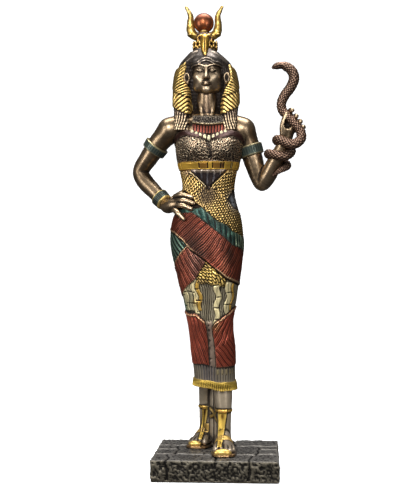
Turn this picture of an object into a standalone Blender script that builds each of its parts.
"""Standing figurine of the goddess Hathor with a serpent, on a block of dressed stone.

Cold-cast bronze resin. Metres, +Z up, the goddess faces -Y, and the origin is the centre of the
plinth's underside. Run with: blender --background --python part.py
"""

import math

import bmesh
import bpy
import numpy as np
from mathutils import Matrix, Vector

# Driving sizes
FIGURE_HEIGHT = 0.2762
PLINTH_WIDTH = 0.0760
PLINTH_DEPTH = 0.0700
PLINTH_HEIGHT = 0.0130
PLINTH_EDGE = 0.0009
JOINT_WIDTH = 0.0011
JOINT_DEPTH = 0.0009
SEAT_GAP = 0.0003

# The figure is drawn 276.2 units tall, in shares of its own height, with its sole at 0
UNIT = FIGURE_HEIGHT / 276.2
SOLE = PLINTH_HEIGHT + SEAT_GAP

# Fineness of the carved surface, in units, and the faces that are kept of it
VOXEL = 0.75
SMOOTHING_ROUNDS = 3
FIGURE_FACES = 7800

BRONZE = (0.20, 0.13, 0.08, 1.0)
STONE_BRONZE = (0.10, 0.09, 0.08, 1.0)

# Body outline: height, centre x, centre y, half width, half depth
BODY = (
    (37.5, -1.8, 9.0, 12.4, 12.0),
    (46.5, -2.1, 8.4, 12.7, 12.4),
    (61.5, -3.0, 6.8, 13.3, 12.9),
    (76.3, -4.4, 4.8, 13.3, 13.0),
    (91.2, -4.7, 4.0, 16.1, 13.4),
    (106.1, -5.4, 3.8, 19.0, 14.4),
    (121.0, -6.3, 4.2, 21.8, 15.2),
    (130.0, -6.7, 4.4, 22.4, 15.2),
    (139.6, -6.6, 4.0, 21.5, 13.8),
    (147.0, -6.2, 3.5, 19.6, 12.2),
    (154.4, -5.8, 3.2, 17.2, 11.0),
    (161.0, -5.5, 3.1, 15.9, 10.4),
    (168.0, -5.4, 3.1, 16.6, 10.6),
    (176.8, -5.5, 3.1, 18.8, 11.4),
    (184.2, -5.3, 3.2, 20.2, 11.8),
    (191.0, -5.0, 3.5, 20.8, 11.0),
    (197.0, -5.4, 4.1, 20.4, 9.4),
    (202.0, -5.9, 4.7, 17.0, 7.8),
    (206.5, -6.3, 5.0, 10.0, 6.8),
)
SQUARENESS = 2.25
# Where flesh and folds swell the body: x, height, reach across, reach up, rise, -1 front or 1 back
SWELLINGS = (
    (-15.6, 186.4, 8.4, 8.0, 6.6, -1),
    (7.0, 186.4, 8.4, 8.0, 6.6, -1),
    (-4.3, 182.0, 8.0, 7.0, 2.0, -1),
    (-6.0, 147.0, 9.0, 10.0, 1.3, -1),
    (2.4, 108.0, 8.0, 24.0, 1.8, -1),
    (-12.6, 112.0, 7.0, 22.0, 0.8, -1),
    (0.8, 80.0, 5.0, 9.0, 1.5, -1),
    (-9.6, 82.0, 4.5, 9.0, 0.6, -1),
    (-5.0, 74.0, 2.4, 30.0, -1.5, -1),
    (-14.8, 128.0, 9.0, 12.0, 3.8, 1),
    (2.0, 128.0, 9.0, 12.0, 3.8, 1),
    (-6.2, 122.0, 2.6, 14.0, -1.6, 1),
    (-5.6, 176.0, 2.6, 24.0, -1.0, 1),
)

# Limbs: rows of x, y, z and radius
NECK = ((-6.3, 5.4, 202.0, 7.4), (-6.4, 4.6, 211.0, 6.9), (-6.6, 4.2, 222.0, 6.8))
SHOULDER_BAR = (
    (-29.4, 5.6, 198.8, 7.4),
    (-20.0, 5.4, 202.8, 6.6),
    (-6.2, 5.2, 205.0, 6.0),
    (6.6, 5.4, 202.8, 6.4),
    (15.6, 5.6, 198.6, 7.2),
)
RIGHT_ARM = (
    (-30.2, 5.8, 198.6, 7.4),
    (-37.2, 7.8, 191.0, 6.6),
    (-44.2, 10.6, 181.8, 5.9),
    (-49.4, 13.0, 173.8, 5.2),
    (-46.8, 11.6, 167.2, 5.4),
    (-39.8, 7.2, 159.8, 4.9),
    (-33.6, 2.8, 153.4, 4.0),
    (-30.0, 0.2, 150.4, 3.7),
)
LEFT_ARM = (
    (15.8, 5.8, 198.2, 7.2),
    (19.4, 6.6, 189.6, 6.6),
    (22.8, 7.2, 178.0, 6.1),
    (27.0, 7.0, 165.0, 4.5),
    (31.0, 4.4, 168.8, 5.3),
    (36.2, 0.4, 178.4, 4.9),
    (41.0, -3.4, 188.2, 3.8),
    (42.6, -5.0, 192.6, 3.6),
)

# Right hand, spread on the hip
RIGHT_PALM = ((-31.4, 0.6, 149.8, 3.7), (-27.6, -2.6, 150.8, 4.3), (-24.0, -4.8, 151.4, 3.8))
RIGHT_FINGERS = (
    ((-26.0, -3.8, 156.0, 1.8), (-21.6, -8.2, 156.9, 1.6), (-14.8, -9.4, 155.3, 1.2)),
    ((-25.8, -4.8, 153.4, 1.8), (-20.4, -9.2, 153.4, 1.6), (-14.0, -10.0, 151.5, 1.2)),
    ((-26.0, -5.2, 150.7, 1.8), (-21.2, -9.6, 150.3, 1.6), (-15.4, -10.6, 148.0, 1.2)),
    ((-27.0, -4.6, 148.4, 1.7), (-23.8, -8.8, 145.8, 1.5), (-20.0, -10.2, 141.8, 1.1)),
)
RIGHT_THUMB = ((-28.6, 1.6, 153.6, 2.4), (-25.0, 3.6, 157.2, 2.1), (-20.6, 3.6, 159.8, 1.8))

# Left hand, closed round the serpent
LEFT_PALM = ((42.8, -5.0, 193.0, 3.7), (43.8, -5.6, 197.4, 4.6), (45.4, -5.6, 201.6, 4.3))
LEFT_THUMB = ((41.0, -7.2, 194.2, 2.5), (40.8, -8.8, 199.4, 2.1), (42.6, -9.6, 205.6, 1.7))
LEFT_FINGERS = (
    ((44.2, -5.2, 203.0, 2.0), (45.0, -5.8, 208.0, 1.8), (46.2, -10.6, 208.0, 1.5)),
    ((46.4, -5.2, 201.4, 2.0), (48.2, -5.8, 204.8, 1.8), (48.8, -11.0, 204.2, 1.5)),
    ((47.8, -5.2, 199.2, 2.0), (50.8, -5.8, 201.6, 1.8), (51.2, -11.0, 200.8, 1.5)),
    ((48.4, -5.2, 197.0, 2.0), (52.8, -5.8, 198.2, 1.7), (52.8, -10.6, 197.6, 1.4)),
)

# Serpent, from the tip of its snout to the tip of its tail
SERPENT = (
    (34.0, -6.4, 234.6, 1.0),
    (36.6, -6.4, 235.6, 2.6),
    (40.2, -6.4, 236.0, 2.8),
    (44.0, -6.4, 234.8, 2.8),
    (46.8, -6.4, 231.6, 3.0),
    (47.4, -6.4, 227.4, 3.1),
    (45.2, -6.4, 222.4, 3.0),
    (41.8, -6.6, 217.8, 2.9),
    (39.8, -6.8, 213.0, 2.8),
    (40.4, -7.0, 208.6, 2.7),
    (43.4, -8.2, 204.8, 2.6),
    (47.2, -9.6, 200.8, 2.7),
    (51.0, -9.8, 195.8, 2.8),
    (51.4, -10.6, 190.4, 2.9),
    (46.4, -10.8, 187.2, 2.9),
    (38.8, -7.0, 190.4, 2.8),
    (37.0, -0.6, 190.8, 2.7),
    (42.2, 1.8, 187.6, 2.7),
    (45.8, -2.8, 184.0, 2.8),
    (42.0, -7.2, 180.6, 2.8),
    (35.4, -5.4, 181.6, 2.7),
    (31.6, 0.4, 182.8, 2.6),
    (35.4, 5.8, 180.6, 2.5),
    (42.4, 4.4, 177.2, 2.5),
    (43.2, -1.0, 174.6, 2.1),
    (38.6, -3.8, 171.8, 1.5),
    (34.6, -2.6, 168.8, 0.8),
)

# Wig, open at the face: back hair, cap, and the two lappets that lie on the breast
WIG_BACK = (
    (190.5, -6.6, 13.0, 15.5, 3.6),
    (197.0, -6.8, 13.0, 17.2, 5.2),
    (204.0, -7.0, 11.4, 18.4, 7.2),
    (211.0, -7.2, 10.2, 19.8, 8.2),
    (218.0, -7.4, 9.2, 20.6, 8.8),
    (225.0, -7.5, 8.4, 20.2, 9.2),
    (232.0, -7.6, 7.6, 19.2, 9.6),
    (236.5, -7.6, 6.8, 17.8, 10.0),
    (240.5, -7.8, 5.8, 15.8, 10.6),
    (244.4, -8.0, 4.8, 12.0, 10.0),
    (247.4, -8.3, 4.2, 8.8, 8.4),
)
LAPPET_INNER_GAP = 9.2
LAPPET = (
    (196.6, 14.8, -2.0, 4.8, 3.4),
    (201.0, 14.6, -1.0, 5.2, 3.8),
    (208.0, 14.6, 0.8, 5.2, 4.6),
    (216.0, 14.8, 2.4, 5.4, 5.0),
    (224.0, 14.2, 3.6, 5.2, 5.2),
    (232.0, 12.6, 4.2, 5.0, 6.0),
    (239.0, 9.4, 4.6, 4.6, 6.4),
)
WIG_AXIS_X = -7.2

# Head
SKULL = {"centre": (-6.9, 4.6, 236.4), "radii": (9.4, 11.6, 12.4)}
JAW = {"centre": (-6.9, 0.2, 228.4), "radii": (7.4, 8.4, 8.6)}
CHIN = {"centre": (-6.9, -4.0, 222.6), "radii": (3.2, 3.2, 2.7)}
NOSE = ((-6.9, -6.9, 235.8, 1.1), (-6.9, -8.7, 231.2, 1.3), (-6.9, -9.2, 229.2, 1.7))
LIPS = {"centre": (-6.9, -7.0, 226.2), "radii": (3.0, 1.7, 1.4)}
BROW = {"centre": (-6.9, -3.2, 237.6), "radii": (7.4, 4.4, 3.0)}
EYE = {"centre": (-6.9, -4.9, 234.0), "apart": 3.9, "radii": (2.2, 1.9, 1.2)}
EAR = {"centre": (-6.9, 1.4, 231.6), "apart": 10.2, "radii": (1.4, 2.2, 3.4)}

# Crown: modius, the platform of the horns, the horns themselves and the sun
CROWN_X = -8.3
CROWN_Y = 3.4
MODIUS = ((245.0, 8.0), (247.6, 7.2), (251.5, 7.2), (253.6, 7.2), (255.6, 8.2), (257.4, 9.2))
URAEI = 12
URAEUS_RADIUS = 1.5
URAEUS_HEIGHT = 250.2
VULTURE_HEAD = ((0.0, -7.0, 254.6, 2.0), (0.0, -9.8, 250.6, 2.0), (0.0, -10.4, 245.6, 1.3))
HORN = (
    (1.0, 0.0, 258.2, 2.5),
    (5.0, 0.0, 258.6, 3.0),
    (8.0, 0.0, 261.2, 3.0),
    (8.8, 0.0, 265.4, 2.5),
    (8.3, 0.0, 269.4, 2.0),
    (9.8, 0.0, 273.4, 1.6),
    (11.3, 0.0, 275.2, 1.2),
)
SUN = {"centre": (0.0, 0.0, 265.4), "radii": (6.1, 5.0, 6.1)}

# Legs and feet. A foot is drawn along its own length, from the tip of the toes
LEFT_LEG = ((2.6, 5.6, 46.0, 6.2), (3.6, 4.8, 32.0, 5.6), (4.2, 3.6, 18.0, 4.3), (4.0, 3.2, 6.0, 4.4))
RIGHT_LEG = ((-6.2, 14.0, 46.0, 6.2), (-7.2, 19.0, 32.0, 5.5), (-8.4, 22.8, 18.0, 4.3), (-8.2, 24.2, 6.0, 4.3))
# The web of metal left between the legs, as upright rounds of x, y and radius
WEB = ((1.4, 8.0, 3.6), (-1.8, 13.2, 3.6), (-5.0, 18.4, 3.6))
LEFT_TOE, LEFT_TURN = (5.0, -24.4), math.radians(2.0)
RIGHT_TOE, RIGHT_TURN = (-13.4, 1.8), math.radians(-13.0)
FOOT_LENGTH = 30.5
# Along the foot from the toes, height of the middle, half width, half height
FOOT = (
    (6.0, 2.8, 6.4, 1.7),
    (9.5, 3.2, 6.8, 2.5),
    (14.0, 4.1, 5.8, 3.6),
    (18.5, 5.4, 4.9, 4.9),
    (22.5, 6.2, 4.6, 5.6),
    (26.5, 5.0, 4.5, 4.4),
    (29.5, 3.6, 3.4, 2.8),
)
# Each toe: how far out from the foot's middle, where its tip is, its radius
TOES = ((-4.6, 1.6, 1.9), (-1.5, 1.5, 1.5), (1.2, 2.2, 1.4), (3.6, 3.4, 1.3), (5.6, 5.0, 1.2))
SANDAL_THICKNESS = 1.3
SANDAL_MARGIN = 1.0

# Bands that stand proud of the arms: share of the way along the arm, half length, thickness
RIGHT_ARMLET = (0.222, 2.7, 1.2)
LEFT_ARMLET = (0.192, 3.5, 1.2)
BRACELET = (0.888, 3.2, 1.1)
ANKLET_HEIGHT, ANKLET_PROUD = 23.4, 0.7

# The dress: heights of its bands at the front, and the layers that are wrapped over it
HEM_LOW, HEM_HIGH, HEM_PROUD = 38.0, 44.0, 1.5
WAISTBAND_LOW, WAISTBAND_HIGH, WAISTBAND_PROUD = 171.0, 175.4, 0.7
LAYER_PROUD = 0.7
COLLAR_CENTRE = (-6.0, 204.0)
COLLAR_INNER, COLLAR_OUTER, COLLAR_PROUD = 7.0, 15.5, 0.9
HAIR_PITCH, HAIR_DEPTH = 2.4, 0.35

STEPS_PER_SPAN = 5
RING_SIDES = 48
LIMB_SIDES = 16


def clear_scene():
    for obj in list(bpy.data.objects):
        bpy.data.objects.remove(obj, do_unlink=True)


def material(name, colour, roughness, metallic):
    made = bpy.data.materials.new(name)
    made.use_nodes = True
    shader = made.node_tree.nodes["Principled BSDF"]
    shader.inputs["Base Color"].default_value = colour
    shader.inputs["Roughness"].default_value = roughness
    shader.inputs["Metallic"].default_value = metallic
    return made


def curve_through(rows, steps=STEPS_PER_SPAN):
    """A smooth curve through rows of numbers, as an array with the same columns."""
    rows = np.array(rows, float)
    ends = np.vstack([2 * rows[0] - rows[1], rows, 2 * rows[-1] - rows[-2]])
    found = []
    for a, b, c, d in zip(ends, ends[1:], ends[2:], ends[3:]):
        for t in np.linspace(0.0, 1.0, steps, endpoint=False):
            found.append(
                b + 0.5 * t * (c - a + t * (2 * a - 5 * b + 4 * c - d + t * (3 * (b - c) + d - a)))
            )
    found.append(rows[-1])
    return np.array(found)


def skin(bm, rings):
    """One closed shell over a stack of rings, each a list of points."""
    loops = [[bm.verts.new(Vector(point) * UNIT) for point in ring] for ring in rings]
    for low, high in zip(loops, loops[1:]):
        for i in range(len(low)):
            j = (i + 1) % len(low)
            bm.faces.new((low[i], low[j], high[j], high[i]))
    bm.faces.new(loops[0][::-1])
    bm.faces.new(loops[-1])


def swelling(x, z, facing):
    """How far flesh pushes out at a point of the body. facing is -1 right at the front, 1 at the back."""
    rise = 0.0
    for centre_x, centre_z, across, up, height, side in SWELLINGS:
        near = math.exp(-(((x - centre_x) / across) ** 2) - ((z - centre_z) / up) ** 2)
        rise += side * height * near * max(0.0, side * facing) ** 0.5
    return rise


def stack(bm, sections, squareness=2.0, mirror_x=None, swollen=False):
    """A closed form over level sections: height, centre x, centre y, half width, half depth."""
    rings = []
    for z, cx, cy, half_width, half_depth in curve_through(sections):
        if mirror_x is not None:
            cx = mirror_x[0] + mirror_x[1] * cx
        ring = []
        for k in range(RING_SIDES):
            angle = 2 * math.pi * k / RING_SIDES
            c, s = math.cos(angle), math.sin(angle)
            reach = (abs(c) ** squareness + abs(s) ** squareness) ** (-1 / squareness)
            x, y = cx + half_width * reach * c, cy + half_depth * reach * s
            ring.append((x, y + (swelling(x, z, s) if swollen else 0.0), z))
        rings.append(ring)
    skin(bm, rings)


def limb(bm, rows, offset=(0.0, 0.0, 0.0), mirrored=False):
    """A round, tapering form along rows of x, y, z and radius, with rounded ends."""
    track = curve_through(rows)
    if mirrored:
        track[:, 0] *= -1
    points, radii = track[:, :3] + np.array(offset), track[:, 3]
    along = np.gradient(points, axis=0)
    along /= np.linalg.norm(along, axis=1)[:, None]
    side = np.cross(along[0], (0.3, 1.0, 0.2))
    rings = []

    def ring(centre, radius, direction):
        nonlocal side
        side = side - direction * side.dot(direction)
        side /= np.linalg.norm(side)
        other = np.cross(direction, side)
        return [
            centre + radius * (math.cos(a) * side + math.sin(a) * other)
            for a in np.linspace(0.0, 2 * math.pi, LIMB_SIDES, endpoint=False)
        ]

    round_off = [math.radians(a) for a in (80.0, 52.0, 26.0)]
    for a in round_off:
        rings.append(ring(points[0] - along[0] * radii[0] * math.sin(a), radii[0] * math.cos(a), along[0]))
    for centre, radius, direction in zip(points, radii, along):
        rings.append(ring(centre, radius, direction))
    for a in round_off[::-1]:
        rings.append(ring(points[-1] + along[-1] * radii[-1] * math.sin(a), radii[-1] * math.cos(a), along[-1]))
    skin(bm, rings)


def blob(bm, centre, radii):
    matrix = Matrix.Translation(Vector(centre) * UNIT) @ Matrix.Diagonal(Vector(radii) * UNIT).to_4x4()
    bmesh.ops.create_uvsphere(bm, u_segments=20, v_segments=12, radius=1.0, matrix=matrix)


def pair_of_blobs(bm, centre, apart, radii):
    for side in (-1, 1):
        blob(bm, (centre[0] + side * apart, centre[1], centre[2]), radii)


def band_round(bm, rows, share, half, proud):
    """A ring that stands proud of a limb, part of the way along it."""
    track = curve_through(rows)
    reach = np.concatenate([[0.0], np.cumsum(np.linalg.norm(np.diff(track[:, :3], axis=0), axis=1))])
    middle = share * reach[-1]
    at = np.linspace(middle - half, middle + half, 5)
    found = np.column_stack([np.interp(at, reach, track[:, k]) for k in range(4)])
    points = found[:, :3]
    direction = points[-1] - points[0]
    direction /= np.linalg.norm(direction)
    side = np.cross(direction, (0.3, 1.0, 0.2))
    side /= np.linalg.norm(side)
    other = np.cross(direction, side)
    rings = []
    for centre, radius in zip(points, found[:, 3] + proud):
        rings.append(
            [
                centre + radius * (math.cos(a) * side + math.sin(a) * other)
                for a in np.linspace(0.0, 2 * math.pi, 24, endpoint=False)
            ]
        )
    skin(bm, rings)


def torso(bm):
    stack(bm, BODY, SQUARENESS, swollen=True)
    limb(bm, SHOULDER_BAR)
    limb(bm, NECK)
    hem = [row for row in curve_through(BODY[:3], 12) if HEM_LOW <= row[0] <= HEM_HIGH]
    flare = [
        (z, cx, cy, rx + HEM_PROUD * (1.2 - 0.5 * k / len(hem)), ry + HEM_PROUD)
        for k, (z, cx, cy, rx, ry) in enumerate(hem)
    ]
    stack(bm, flare, SQUARENESS)


def arms(bm):
    for rows in (RIGHT_ARM, LEFT_ARM):
        limb(bm, rows)
    band_round(bm, RIGHT_ARM, *RIGHT_ARMLET)
    band_round(bm, LEFT_ARM, *LEFT_ARMLET)
    band_round(bm, RIGHT_ARM, *BRACELET)


def hands(bm):
    for rows in (RIGHT_PALM, *RIGHT_FINGERS, RIGHT_THUMB, LEFT_PALM, *LEFT_FINGERS, LEFT_THUMB):
        limb(bm, rows)


def head(bm):
    for form in (SKULL, JAW, CHIN, LIPS, BROW):
        blob(bm, **form)
    for form in (EYE, EAR):
        pair_of_blobs(bm, **form)
    limb(bm, NOSE)


def wig(bm):
    stack(bm, WIG_BACK, SQUARENESS)
    for side in (-1, 1):
        stack(bm, LAPPET, 2.6, mirror_x=(WIG_AXIS_X, side))


def crown(bm):
    stack(bm, [(z, CROWN_X, CROWN_Y, r, r) for z, r in MODIUS])
    place = (CROWN_X, CROWN_Y, 0.0)
    for k in range(URAEI):
        angle = 2 * math.pi * (k + 0.5) / URAEI
        reach = MODIUS[1][1] + 0.6
        centre = (
            CROWN_X + reach * math.sin(angle),
            CROWN_Y - reach * math.cos(angle),
            URAEUS_HEIGHT,
        )
        blob(bm, centre, (URAEUS_RADIUS, URAEUS_RADIUS, 1.6 * URAEUS_RADIUS))
    limb(bm, VULTURE_HEAD, offset=place)
    for mirrored in (False, True):
        limb(bm, HORN, offset=place, mirrored=mirrored)
    blob(bm, np.add(SUN["centre"], place), SUN["radii"])


def foot_point(toe, turn, along, across, z):
    """A point of a foot: so far back from the toes, so far across towards +X, at that height."""
    c, s = math.cos(turn), math.sin(turn)
    return (toe[0] - along * s + across * c, toe[1] + along * c + across * s, z)


def foot(bm, toe, turn, big_toe_side):
    rings = []
    for along, middle, half_width, half_height in curve_through(FOOT):
        rings.append(
            [
                foot_point(toe, turn, along, half_width * math.cos(a), max(0.0, middle + half_height * math.sin(a)))
                for a in np.linspace(0.0, 2 * math.pi, LIMB_SIDES, endpoint=False)
            ]
        )
    skin(bm, rings)
    for across, tip, radius in TOES:
        across *= big_toe_side
        height = SANDAL_THICKNESS + radius
        limb(
            bm,
            (
                (*foot_point(toe, turn, tip + 7.0, across * 0.85, height + 0.8), radius),
                (*foot_point(toe, turn, tip + 3.6, across, height + 0.5), radius),
                (*foot_point(toe, turn, tip + radius, across, height), radius),
            ),
        )
    outline = [(row[0], row[2] + SANDAL_MARGIN) for row in curve_through(FOOT)]
    outline = [(-1.6, 3.0), (0.6, 6.0), (2.8, 7.2), *outline, (FOOT_LENGTH + SANDAL_MARGIN, 1.8)]
    edge = [(along, wide) for along, wide in outline] + [(along, -wide) for along, wide in outline[::-1]]
    skin(bm, [[foot_point(toe, turn, along, wide, z) for along, wide in edge] for z in (0.0, SANDAL_THICKNESS)])


def legs(bm):
    for rows in (LEFT_LEG, RIGHT_LEG):
        limb(bm, rows)
    for x, y, radius in WEB:
        stack(bm, [(z, x, y, radius, radius) for z in (0.0, 20.0, 42.0)])
    foot(bm, LEFT_TOE, LEFT_TURN, 1)
    foot(bm, RIGHT_TOE, RIGHT_TURN, -1)
    for rows in (LEFT_LEG, RIGHT_LEG):
        x, y, radius = [
            np.interp(ANKLET_HEIGHT, [r[2] for r in rows[::-1]], [r[k] for r in rows[::-1]]) for k in (0, 1, 3)
        ]
        wide = radius + ANKLET_PROUD
        stack(bm, [(ANKLET_HEIGHT + dz, x, y, wide, wide) for dz in (-0.8, 0.0, 0.8)])


def rough_figure():
    """All forms in one mesh. They overlap where they touch, and the remesh makes them one."""
    bm = bmesh.new()
    for form in (torso, arms, hands, head, wig, crown, legs):
        form(bm)
    limb(bm, SERPENT)
    bmesh.ops.recalc_face_normals(bm, faces=bm.faces)
    mesh = bpy.data.meshes.new("figure")
    bm.to_mesh(mesh)
    bm.free()
    return mesh


def evaluated_mesh(obj):
    graph = bpy.context.evaluated_depsgraph_get()
    made = bpy.data.meshes.new_from_object(obj.evaluated_get(graph))
    obj.modifiers.clear()
    obj.data = made
    return made


def body_angle(points):
    """Angle round the body's axis, 0 at the front and positive towards +X, and how far out."""
    rows = np.array(BODY)
    cx, cy, rx, ry = [np.interp(points[:, 2], rows[:, 0], rows[:, k]) for k in (1, 2, 3, 4)]
    across, back = (points[:, 0] - cx) / rx, (points[:, 1] - cy) / ry
    return np.arctan2(across, -back), np.hypot(across, back)


def ramp(value, low, high):
    t = np.clip((value - low) / (high - low), 0.0, 1.0)
    return t * t * (3 - 2 * t)


def wrap_heights(angle):
    """Where the wrapped layers of the skirt end, for an angle round the body."""
    turn = angle / (0.5 * math.pi)
    upper_top = 144.0 - 15.0 * turn
    upper_hem = 116.0 - 19.0 * turn
    lower_hem = 108.0 + 22.0 * turn
    return upper_top, upper_hem, lower_hem


def dress_relief(points):
    angle, out = body_angle(points)
    z = points[:, 2]
    upper_top, upper_hem, lower_hem = wrap_heights(angle)
    soft = 0.5
    upper = ramp(z, upper_hem - soft, upper_hem + soft) * (1 - ramp(z, upper_top - soft, upper_top + soft))
    lower = ramp(z, lower_hem - soft, lower_hem + soft) * (1 - ramp(z, 128.0, 130.0))
    waist = ramp(z, WAISTBAND_LOW - soft, WAISTBAND_LOW + soft)
    waist *= 1 - ramp(z, WAISTBAND_HIGH - soft, WAISTBAND_HIGH + soft)
    relief = LAYER_PROUD * np.maximum(upper, 0.5 * lower) + WAISTBAND_PROUD * waist
    on_dress = (out < 1.18) & (z > HEM_HIGH) & (z < 182.0)
    return relief * on_dress


def collar_relief(points):
    across, up = points[:, 0] - COLLAR_CENTRE[0], points[:, 2] - COLLAR_CENTRE[1]
    reach = np.hypot(across, up)
    shape = ramp(reach, COLLAR_INNER - 0.5, COLLAR_INNER + 0.5)
    shape *= 1 - ramp(reach, COLLAR_OUTER - 0.5, COLLAR_OUTER + 0.5)
    front = (points[:, 1] < 1.0) & (up < 4.0) & (abs(across) < LAPPET_INNER_GAP + 1.0)
    return COLLAR_PROUD * shape * front


def hair_relief(points):
    across = points[:, 0] - WIG_AXIS_X
    in_hair = (points[:, 2] < 206.0) & (points[:, 2] > 195.5) & (abs(across) > LAPPET_INNER_GAP - 0.5)
    in_hair &= (abs(across) < 21.0) & (points[:, 1] < -1.0)
    behind = (points[:, 1] > 9.0) & (points[:, 2] > 189.0) & (points[:, 2] < 242.0) & (abs(across) < 20.0)
    waves = -HAIR_DEPTH * (0.5 - 0.5 * np.cos(2 * math.pi * across / HAIR_PITCH))
    return waves * (in_hair | behind)


def carve(mesh):
    """Raises and sinks the surface along its normals, and levels the soles."""
    count = len(mesh.vertices)
    points, normals = np.empty(count * 3), np.empty(count * 3)
    mesh.vertices.foreach_get("co", points)
    mesh.vertices.foreach_get("normal", normals)
    points = points.reshape(-1, 3) / UNIT
    normals = normals.reshape(-1, 3)
    relief = dress_relief(points) + collar_relief(points) + hair_relief(points)
    points += normals * relief[:, None]
    points[points[:, 2] < 0.45, 2] = 0.0
    mesh.vertices.foreach_set("co", (points * UNIT).ravel())
    mesh.update()


def figure():
    obj = bpy.data.objects.new("figure", rough_figure())
    bpy.context.scene.collection.objects.link(obj)
    remesh = obj.modifiers.new("one_casting", "REMESH")
    remesh.mode = "VOXEL"
    remesh.voxel_size = VOXEL * UNIT
    smooth = obj.modifiers.new("soft_joins", "SMOOTH")
    smooth.factor = 0.5
    smooth.iterations = SMOOTHING_ROUNDS
    mesh = evaluated_mesh(obj)
    carve(mesh)
    triangles = sum(len(face.vertices) - 2 for face in mesh.polygons)
    fewer = obj.modifiers.new("fewer_faces", "DECIMATE")
    fewer.ratio = min(1.0, FIGURE_FACES / triangles)
    fewer.use_collapse_triangulate = True
    obj.location.z = SOLE
    mesh.materials.clear()
    mesh.materials.append(material("antique_bronze", BRONZE, 0.38, 0.9))
    mesh.shade_smooth()
    return obj


def joint_cutter(bm, start, end):
    """A diamond bar along a joint between two stones."""
    start, end = Vector(start), Vector(end)
    along = (end - start).normalized()
    middle = (start + end) / 2
    turn = along.to_track_quat("Z", "Y").to_matrix().to_4x4()
    size = Vector((JOINT_WIDTH, JOINT_WIDTH, (end - start).length))
    matrix = Matrix.Translation(middle) @ turn @ Matrix.Rotation(math.radians(45), 4, "Z") @ Matrix.Diagonal(size).to_4x4()
    bmesh.ops.create_cube(bm, size=1.0, matrix=matrix)


def plinth():
    half_w, half_d = PLINTH_WIDTH / 2, PLINTH_DEPTH / 2
    bm = bmesh.new()
    size = Matrix.Diagonal(Vector((PLINTH_WIDTH, PLINTH_DEPTH, PLINTH_HEIGHT))).to_4x4()
    bmesh.ops.create_cube(bm, size=1.0, matrix=Matrix.Translation((0, 0, PLINTH_HEIGHT / 2)) @ size)
    top = [e for e in bm.edges if all(v.co.z > PLINTH_HEIGHT / 2 for v in e.verts)]
    upright = [e for e in bm.edges if abs(e.verts[0].co.z - e.verts[1].co.z) > PLINTH_HEIGHT / 2]
    bmesh.ops.bevel(bm, geom=top + upright, offset=PLINTH_EDGE, segments=2, affect="EDGES", profile=0.6)
    mesh = bpy.data.meshes.new("plinth")
    bm.to_mesh(mesh)
    bm.free()
    obj = bpy.data.objects.new("plinth", mesh)
    bpy.context.scene.collection.objects.link(obj)
    mesh.materials.append(material("stone_finish_bronze", STONE_BRONZE, 0.6, 0.6))
    for name, joints in stone_joints(half_w, half_d):
        cutter_bm = bmesh.new()
        for start, end in joints:
            joint_cutter(cutter_bm, start, end)
        cutter_mesh = bpy.data.meshes.new(name)
        cutter_bm.to_mesh(cutter_mesh)
        cutter_bm.free()
        cutter = bpy.data.objects.new(name, cutter_mesh)
        bpy.context.scene.collection.objects.link(cutter)
        cutter.hide_render = True
        cutter.display_type = "WIRE"
        cut = obj.modifiers.new(name, "BOOLEAN")
        cut.operation = "DIFFERENCE"
        cut.object = cutter
    return obj


def stone_joints(half_w, half_d):
    """The joints of the stones, as cutters that run past the faces they cut."""
    top = PLINTH_HEIGHT + JOINT_WIDTH * 0.7 - JOINT_DEPTH
    proud = JOINT_WIDTH * 0.7 - JOINT_DEPTH
    past = 0.004
    low = -past
    high = PLINTH_HEIGHT + past
    across = []
    for share in (-0.74, 0.06, 0.56):
        across.append(((share * half_w, -half_d - proud, low), (share * half_w, -half_d - proud, high)))
    for share in (-0.5, 0.3):
        across.append(((share * half_w, half_d + proud, low), (share * half_w, half_d + proud, high)))
    sides = []
    for side in (-1, 1):
        for share in (-0.35, 0.4):
            x = side * (half_w + proud)
            sides.append(((x, share * half_d, low), (x, share * half_d, high)))
    slabs = [
        ((-half_w - past, -0.35 * half_d, top), (half_w + past, -0.35 * half_d, top)),
        ((-half_w - past, 0.4 * half_d, top), (half_w + past, 0.4 * half_d, top)),
    ]
    return ("joints_front_and_back", across), ("joints_of_the_sides", sides), ("joints_of_the_top", slabs)


def main():
    clear_scene()
    plinth()
    figure()


main()
